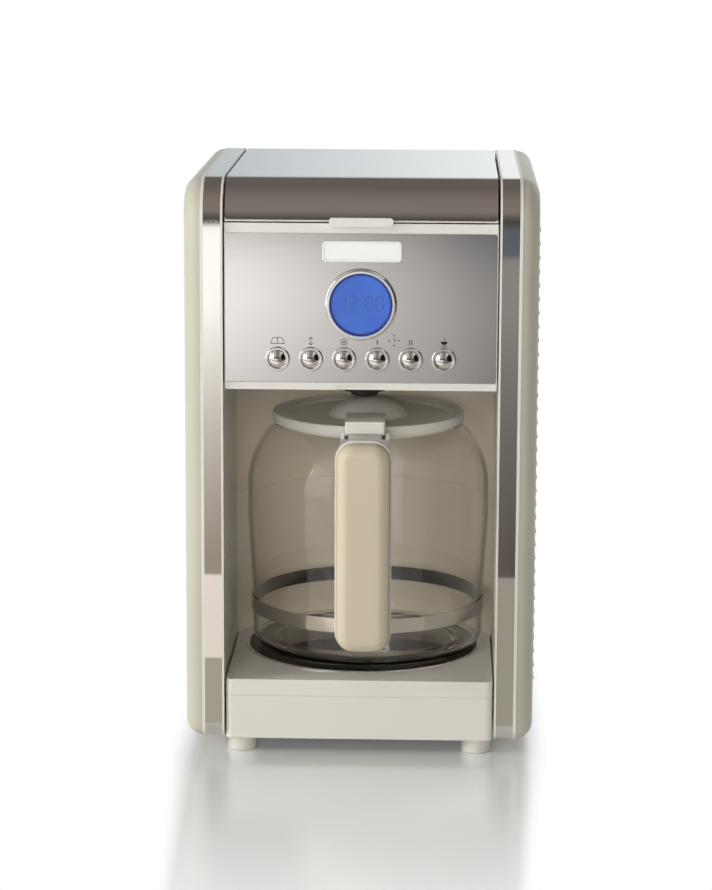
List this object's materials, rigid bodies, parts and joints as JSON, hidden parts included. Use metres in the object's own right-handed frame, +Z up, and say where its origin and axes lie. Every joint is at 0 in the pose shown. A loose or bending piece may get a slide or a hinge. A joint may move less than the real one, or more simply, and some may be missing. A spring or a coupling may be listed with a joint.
{
  "type": "drip coffee maker",
  "caption": "Drip coffee maker with steel-trimmed ivory side panels, hinged top lid, round display, push buttons, lift-out filter basket, hot plate and handled glass jug with a hinged cover.",
  "frame": {"origin": "middle of the bounding box at the level of the table under the feet", "axes": "+Z up, front with the jug handle towards -Y, +X to the right seen from the front"},
  "size_m": [0.222, 0.27, 0.365],
  "materials": {
    "ivory_plastic": "smooth moulded ivory plastic",
    "side_panel_plastic": "glossy cream moulded side panel",
    "brushed_trim": "fine brushed stainless steel",
    "polished_metal": "polished bright metal",
    "bay_plastic": "matt warm grey plastic",
    "foot_rubber": "pale soft rubber of the round feet",
    "plate_enamel": "black non-stick coating",
    "heater_alloy": "bare extruded aluminium",
    "zinc_steel": "plain zinc-plated steel",
    "switch_black": "black moulded plastic",
    "board_green": "green circuit board",
    "display_lens": "clear display window",
    "display_blue": "blue backlit display",
    "tank_plastic": "milky translucent plastic",
    "silicone": "pale silicone tube",
    "basket_plastic": "dark brown matt plastic",
    "filter_plastic": "dark filter frame",
    "filter_mesh": "fine gold-tone woven mesh",
    "jug_glass": "clear borosilicate glass",
    "grip_plastic": "satin beige plastic"
  },
  "bodies": {
    "housing": {"base_tub": "ivory_plastic", "base_deck": "ivory_plastic", "side_frame_left": "ivory_plastic", "side_frame_right": "ivory_plastic", "upper_housing": "ivory_plastic", "top_deck": "ivory_plastic", "rear_cover": "ivory_plastic", "side_panel_left": "side_panel_plastic", "side_panel_right": "side_panel_plastic", "trim_strip_left": "brushed_trim", "trim_strip_right": "brushed_trim", "fascia": "brushed_trim", "display_bezel": "polished_metal", "button_bezels": "polished_metal", "plate_ring": "polished_metal", "column_lower": "bay_plastic", "column_upper": "bay_plastic", "foot_front_left": "foot_rubber", "foot_front_right": "foot_rubber", "foot_rear_left": "foot_rubber", "foot_rear_right": "foot_rubber", "hot_plate": "plate_enamel", "heater_element": "heater_alloy", "heater_clamp": "zinc_steel", "thermostat": "zinc_steel", "base_screws": "zinc_steel", "rear_screws": "zinc_steel", "lid_hinge_pin": "zinc_steel", "tact_switches": "switch_black", "cord_gland": "switch_black", "bottom_plate": "switch_black", "control_board": "board_green", "power_board": "board_green", "display_lens": "display_lens", "lcd_module": "display_blue", "water_tank": "tank_plastic", "inlet_hose": "silicone", "outlet_hose": "silicone", "riser_tube": "silicone"},
    "lid": {"lid_skin": "brushed_trim", "lid_liner": "ivory_plastic", "spray_head": "ivory_plastic"},
    "basket": {"brew_basket": "basket_plastic", "filter_frame": "filter_plastic", "filter_mesh": "filter_mesh"},
    "valve": {"valve_stem": "basket_plastic", "valve_spring": "zinc_steel"},
    "jug": {"jug_glass": "jug_glass", "jug_band": "brushed_trim", "jug_lid": "ivory_plastic", "jug_lid_pin": "zinc_steel", "handle_frame": "ivory_plastic", "handle_grip": "grip_plastic"},
    "button_program": {"button_program": "polished_metal"},
    "button_select": {"button_select": "polished_metal"},
    "button_auto": {"button_auto": "polished_metal"},
    "button_hour": {"button_hour": "polished_metal"},
    "button_minute": {"button_minute": "polished_metal"},
    "button_brew": {"button_brew": "polished_metal"}
  },
  "joints": [
    {"name": "top_lid_hinge", "type": "hinge", "parent": "housing", "child": "lid", "pos_m": [0, 0.109, 0.3565], "axis": [-1, 0, 0], "range_deg": [0, 93]},
    {"name": "basket_lift", "type": "slide", "parent": "housing", "child": "basket", "axis": [0, 0, 1], "range_m": [0, 0.005]},
    {"name": "jug_slide", "type": "slide", "parent": "housing", "child": "jug", "axis": [0, -1, 0], "range_m": [0, 0.23]},
    {"name": "drip_valve_slide", "type": "slide", "parent": "basket", "child": "valve", "axis": [0, 0, -1], "range_m": [0, 0.004], "deforming": ["valve_spring"]},
    {"name": "button_program_press", "type": "slide", "parent": "housing", "child": "button_program", "axis": [0, 1, 0], "range_m": [0, 0.0012], "stiffness_N_per_m": 1500},
    {"name": "button_select_press", "type": "slide", "parent": "housing", "child": "button_select", "axis": [0, 1, 0], "range_m": [0, 0.0012], "stiffness_N_per_m": 1500},
    {"name": "button_auto_press", "type": "slide", "parent": "housing", "child": "button_auto", "axis": [0, 1, 0], "range_m": [0, 0.0012], "stiffness_N_per_m": 1500},
    {"name": "button_hour_press", "type": "slide", "parent": "housing", "child": "button_hour", "axis": [0, 1, 0], "range_m": [0, 0.0012], "stiffness_N_per_m": 1500},
    {"name": "button_minute_press", "type": "slide", "parent": "housing", "child": "button_minute", "axis": [0, 1, 0], "range_m": [0, 0.0012], "stiffness_N_per_m": 1500},
    {"name": "button_brew_press", "type": "slide", "parent": "housing", "child": "button_brew", "axis": [0, 1, 0], "range_m": [0, 0.0012], "stiffness_N_per_m": 1500}
  ],
  "couplings": [
    {"joint": "drip_valve_slide", "follows": "jug_slide", "ratio": 0.017391}
  ]
}
